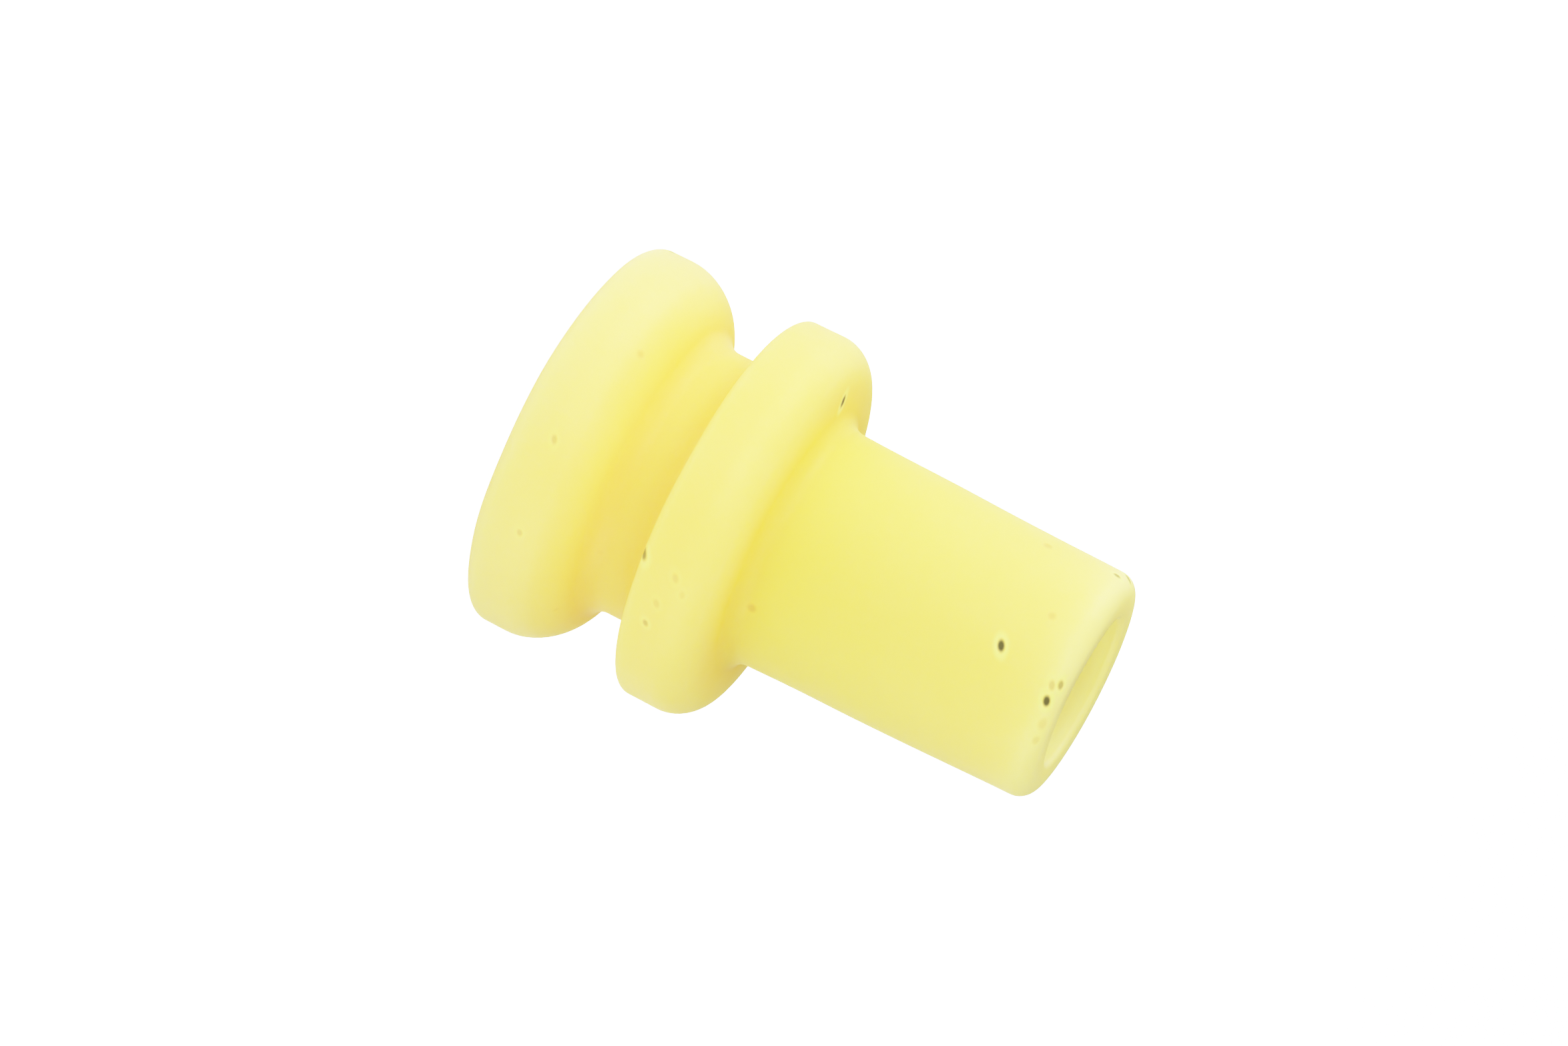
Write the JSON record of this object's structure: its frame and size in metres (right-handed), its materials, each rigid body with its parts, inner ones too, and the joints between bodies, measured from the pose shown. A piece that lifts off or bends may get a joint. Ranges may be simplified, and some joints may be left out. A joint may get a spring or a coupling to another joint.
{
  "type": "ear plug",
  "caption": "Soft ribbed ear plug: rounded sealing ribs round the head, a waist between them, and a slightly tapered hollow stem, open at its end, to hold it by.",
  "frame": {"origin": "the middle of the head's flat face, which the plug stands on", "axes": "+Z along the plug's axis, from the head's face to the open end of the stem; +X and +Y are any two square directions across it, because the plug is round"},
  "size_m": [0.0124, 0.0124, 0.0177],
  "materials": {
    "elastomer": "moulded, satin, slightly translucent pale yellow"
  },
  "bodies": {
    "root": {"ear_plug": "elastomer"}
  },
  "joints": []
}
